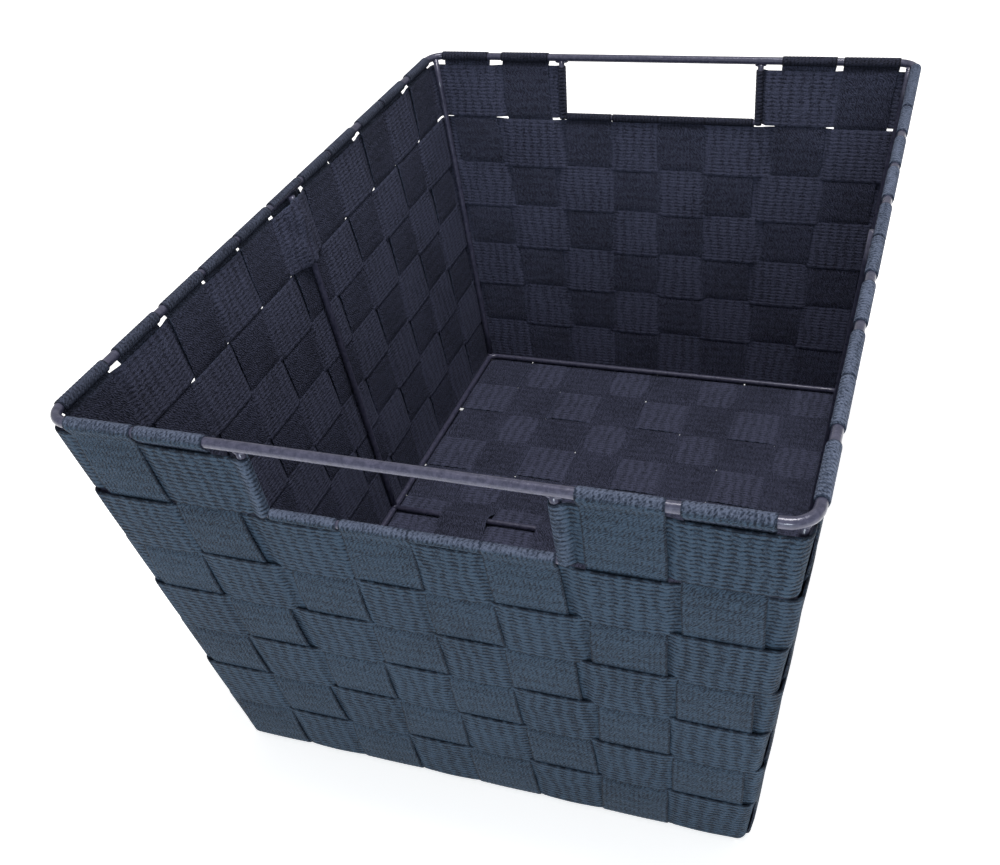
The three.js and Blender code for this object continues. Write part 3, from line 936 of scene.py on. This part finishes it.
def lens(shader, rib, loop, rib_shift, loop_shift, half_width, half_length):
    """Soft lens-shaped spots, one to a rib and a loop, from 0 outside to 1 in the middle."""
    across = shader.math("SUBTRACT", shader.math("FRACT", shader.math("ADD", rib, rib_shift + 0.5)), 0.5)
    along = shader.math("SUBTRACT", shader.math("FRACT", shader.math("ADD", loop, loop_shift)), 0.5)
    across = shader.math("POWER", shader.math("DIVIDE", across, half_width), 2.0)
    along = shader.math("POWER", shader.math("DIVIDE", along, half_length), 2.0)
    return shader.remap(shader.total(across, along), LENS_FADE, 0.0)


def weave_coordinates(shader, place):
    """Ribs and loops along the webbing: the ribs wave with each loop, and slip a little at random."""
    coordinates = shader.add("ShaderNodeUVMap", uv_map="weave").outputs[0]
    axes = shader.add("ShaderNodeSeparateXYZ", {0: coordinates}).outputs
    drift = shader.math("SUBTRACT", shader.noise(place, DRIFT_NOISE, 1.0), 0.5)
    slip = shader.math("SUBTRACT", shader.noise(place, SLIP_NOISE), 0.5)
    slid = shader.scaled(slip, SLIP)
    loop = shader.total(axes[1], shader.scaled(drift, DRIFT), slid)
    wave = shader.math("COSINE", shader.scaled(loop, 2 * math.pi))
    rib = shader.total(axes[0], shader.scaled(wave, RIB_WAVE), slid)
    return rib, loop, axes[0]


def weave_pattern(shader, place, rib, loop):
    """Strength of the pits, knuckles and twill at each place."""
    flat = shader.attribute("flat")
    depth = shader.remap(shader.noise(place, PATCH_NOISE), 0.3, 0.7, *PATCH_STRENGTH)
    depth = shader.scaled(depth, shader.between(flat, *FLAT_STRENGTH))
    depth = shader.scaled(depth, shader.between(shader.attribute("within"), *WITHIN_STRENGTH))
    pit = shader.scaled(depth, lens(shader, rib, loop, **PIT))
    knuckle = shader.scaled(depth, lens(shader, rib, loop, **KNUCKLE))
    turns = shader.total(shader.scaled(rib, TWILL[0]), shader.scaled(loop, TWILL[1]))
    twill = shader.math("SINE", shader.scaled(turns, 2 * math.pi))
    return pit, knuckle, shader.scaled(twill, shader.between(flat, *TWILL_STRENGTH))


def weave_shade(shader, place, across, pit, knuckle, twill, fibre):
    """How far the colour is from that of the ridges, at 0, to that of the pits, at 1: random wear, twill
    and fibre grain, with painted shade in the pits, at the selvedges outside and on flat-marked straps
    within, and painted highlights on the knuckles and on the selvedges within.
    """
    within = shader.attribute("within")
    worn = shader.remap(shader.noise(place, WEAR_NOISE, 3.0), 0.35, 0.7, *WEAR_SHADE)
    # Painted shade on the selvedges outside, and a painted highlight on them within
    edge = shader.remap(shader.math("ABSOLUTE", across), *EDGE_RIBS)
    edge = shader.scaled(edge, shader.between(within, *EDGE_PAINTED_SHADE_AND_HIGHLIGHT))
    knuckle_highlight = shader.scaled(knuckle, shader.between(within, *KNUCKLE_PAINTED_HIGHLIGHT))
    shade = shader.total(worn, edge, shader.scaled(pit, PIT_PAINTED_SHADE))
    shade = shader.math("SUBTRACT", shade, knuckle_highlight)
    # Painted shade within the bin on flat-marked straps, whose upright ribs catch little of the light from
    # above
    flat_within_painted_shade = shader.scaled(shader.attribute("flat"), within)
    shade = shader.total(shade, shader.scaled(flat_within_painted_shade, FLAT_PAINTED_SHADE))
    shade = shader.math("SUBTRACT", shade, twill)
    return shader.math("SUBTRACT", shade, shader.scaled(fibre, FIBRE_LIGHT), clamp=True)


def webbing_material():
    """Ribbed webbing: loops of thread stand up along each rib, with pits between them and a fine twill.
    The pits are painted darker as shade, and the knuckles lighter as highlights.
    """
    shader = Shader("webbing")
    place = shader.position()
    rib, loop, across = weave_coordinates(shader, place)
    pit, knuckle, twill = weave_pattern(shader, place, rib, loop)
    fibre = shader.math("SUBTRACT", shader.noise(place, FIBRE_NOISE, 3.0, 0.7), 0.5)
    relief = shader.math("SUBTRACT", shader.scaled(knuckle, KNUCKLE_HEIGHT), pit)
    relief = shader.total(relief, twill, shader.scaled(fibre, FIBRE_HEIGHT))
    shade = weave_shade(shader, place, across, pit, knuckle, twill, fibre)
    return shader.finish({
        "Base Color": shader.mix(shade, colour_with_painted_light(shader, "ridge"), colour_with_painted_light(shader, "pit")),
        "Normal": shader.bump(relief, strength=1.0, distance=BUMP_DISTANCE),
        "Tangent": shader.add("ShaderNodeTangent", direction_type="UV_MAP", uv_map="weave").outputs[0],
        "Roughness": 0.68,
        "Specular IOR Level": 0.18,
        "Anisotropic": 0.35,
        "Sheen Weight": 0.03,
        "Sheen Roughness": 0.4,
        "Sheen Tint": (0.75, 0.82, 1.0, 1.0),
    })


def paint_material():
    """Glossy dark paint over wire that isn't quite even."""
    shader = Shader("wire_paint")
    place = shader.position()
    waves = shader.noise(place, scale=160.0, detail=3.0)
    grit = shader.scaled(shader.noise(place, scale=1100.0), 0.22)
    cloudy = shader.remap(shader.noise(place, scale=500.0, detail=4.0, roughness=0.7), 0.3, 0.7)
    relief = shader.total(waves, grit)
    return shader.finish({
        "Base Color": shader.mix(cloudy, (0.032, 0.034, 0.062), (0.072, 0.072, 0.116)),
        "Normal": shader.bump(relief, strength=0.55, distance=0.0006),
        "Roughness": shader.remap(waves, 0.3, 0.7, 0.26, 0.38),
        "Specular Tint": (0.84, 0.87, 1.0, 1.0),
        "Coat Weight": 0.4,
        "Coat Roughness": 0.1,
    })


def floor_material():
    shader = Shader("pale_floor")
    cloudy = shader.remap(shader.noise(shader.position(), scale=3.0), 0.3, 0.7)
    return shader.finish({
        "Base Color": shader.mix(cloudy, (0.93, 0.93, 0.93), (0.95, 0.95, 0.95)),
        "Roughness": 0.9,
        "Specular IOR Level": 0.0,
        "Emission Color": (1.0, 1.0, 1.0, 1.0),
        "Emission Strength": 0.62,
    })


# ------------------------------------------------------------ the bin


def finish_piece(obj, material, slot, *nodes):
    obj.data.materials.append(material)
    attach(obj, "root")
    if nodes:
        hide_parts(*nodes)
    return obj


def add_wire(node, points, diameter, reference, closed=False):
    wire = wire_mesh(f"{node}_painted", points, diameter, reference, closed)
    return finish_piece(wire, paint, "frame_wire", node)


def add_strap(node, strap):
    obj, length = strap
    finish_piece(obj, webbing, "strap_webbing", node)


def add_wires():
    up = (0, 0, 1)
    add_wire("rim_wire", loop_points(rim, RIM_BEND), rim.diameter, up, closed=True)
    add_wire("base_wire", loop_points(base, BASE_BEND), WIRE, up, closed=True)
    reach = base.half["x"] - WIRE / 2
    along = np.linspace(-reach, reach, CROSS_WIRE_POINTS)
    cross = np.column_stack([along, np.zeros_like(along), np.full_like(along, base.height)])
    add_wire("base_cross_wire", cross, WIRE, up)
    for side in (FRONT, BACK):
        wall_out = np.append(side.out * side.wall.out[0], side.wall.out[1])
        add_wire(f"handle_wire_{side.name}", handle_points(side), WIRE, wall_out)
        for hand, x_sign in (("left", -1), ("right", 1)):
            post = post_points(x_sign, side.out[1])
            add_wire(f"corner_post_{side.name}_{hand}", post, WIRE, (1, 0, 0))
    for hand, x_sign in (("left", -1), ("right", 1)):
        add_wire(f"mid_post_{hand}", post_points(x_sign, 0), WIRE, (0, 1, 0))
    beads = weld_beads("weld_beads", weld_places())
    finish_piece(beads, paint, "frame_wire")


def weld_places():
    """Where the wires are welded, with the sizes of each bead. Those under the rim are flat and wide."""
    places = []
    under_rim = np.array([0, 0, rim.height - rim.diameter / 2 - BEAD_DROP])
    for x_sign in (-1, 1):
        for y_sign in (-1, 0, 1):
            post = post_points(x_sign, y_sign)
            places.append((post[0], POST_FOOT_BEAD))
            if y_sign:
                places.append((post[-1] * (1, 1, 0) + under_rim, POST_TOP_BEAD))
        cross_wire_end = (x_sign * (base.half["x"] - BEAD_INSET), 0, base.height)
        places.append((cross_wire_end, CROSS_WIRE_BEAD))
    for side in (FRONT, BACK):
        handle = handle_points(side)
        for tip in (handle[0], handle[-1]):
            places.append((tip * (1, 1, 0) + under_rim, HANDLE_BEAD))
    return places


def add_straps():
    for column in range(COLUMNS["x"]):
        node = f"long_strap_{column + 1}"
        strap = upright_strap(node + "_woven", FRONT, BACK, column)
        add_strap(node, strap)
    for column in range(COLUMNS["y"]):
        node = f"cross_strap_{column + 1}"
        last_angle = ROLL_END_AT_POST if column == COLUMNS["y"] // 2 else ROLL_END
        strap = upright_strap(node + "_woven", LEFT, RIGHT, COLUMNS["y"] - 1 - column, last_angle)
        add_strap(node, strap)
    add_strap("ring_strap_1_right", half_ring("top_ring_right", FRONT, RIGHT, BACK))
    add_strap("ring_strap_1_left", half_ring("top_ring_left", BACK, LEFT, FRONT))
    for row in range(1, ROWS):
        node = f"ring_strap_{row + 1}"
        add_strap(node, whole_ring(node + "_woven", row))


# ------------------------------------------------------------ stage, lights and camera


def add_floor():
    bpy.ops.mesh.primitive_plane_add(size=FLOOR_SIZE, location=(0, 0, -FLOOR_DROP * MM))
    floor = bpy.context.object
    floor.name = "floor"
    floor.data.materials.append(floor_material())


def add_light(name, location, target, size, power, colour):
    data = bpy.data.lights.new(name, "AREA")
    data.size = size
    data.energy = power
    data.color = colour
    light = bpy.data.objects.new(name, data)
    light.location = location
    light.rotation_mode = "QUATERNION"
    light.rotation_quaternion = (Vector(target) - Vector(location)).to_track_quat("-Z", "Y")
    bpy.context.scene.collection.objects.link(light)


def add_lighting():
    world = bpy.data.worlds.new("studio")
    world.use_nodes = True
    background = world.node_tree.nodes["Background"]
    background.inputs["Color"].default_value = (1.0, 1.0, 1.0, 1.0)
    background.inputs["Strength"].default_value = 0.45
    bpy.context.scene.world = world
    middle = (0, 0, rim.height * MM / 2)
    add_light("top", (0.15, 0.05, 1.7), middle, size=0.6, power=19, colour=(1.0, 0.96, 0.96))
    add_light("key", (0.35, -1.6, 0.6), middle, size=0.4, power=8.5, colour=(0.86, 0.95, 1.0))


def add_camera():
    """The viewing angle: above the front right corner, turned a little about its own axis."""
    forward = Vector((-0.32818, 0.74204, -0.58453)).normalized()
    level = forward.cross(Vector((0, 0, 1))).normalized()
    roll = -0.12959
    right = math.cos(roll) * level + math.sin(roll) * level.cross(forward)
    axes = Matrix((right, right.cross(forward), -forward)).transposed()
    data = bpy.data.cameras.new("camera")
    data.sensor_width = 36
    data.lens = 43.78
    place = (0.178984, -0.508079, 0.473121)
    camera = bpy.data.objects.new("camera", data)
    camera.matrix_world = Matrix.Translation(place) @ axes.to_4x4()
    bpy.context.scene.collection.objects.link(camera)
    bpy.context.scene.camera = camera


bpy.context.scene.view_settings.view_transform = "Standard"
webbing = webbing_material()
paint = paint_material()
add_camera()
add_wires()
add_straps()
add_floor()
add_lighting()
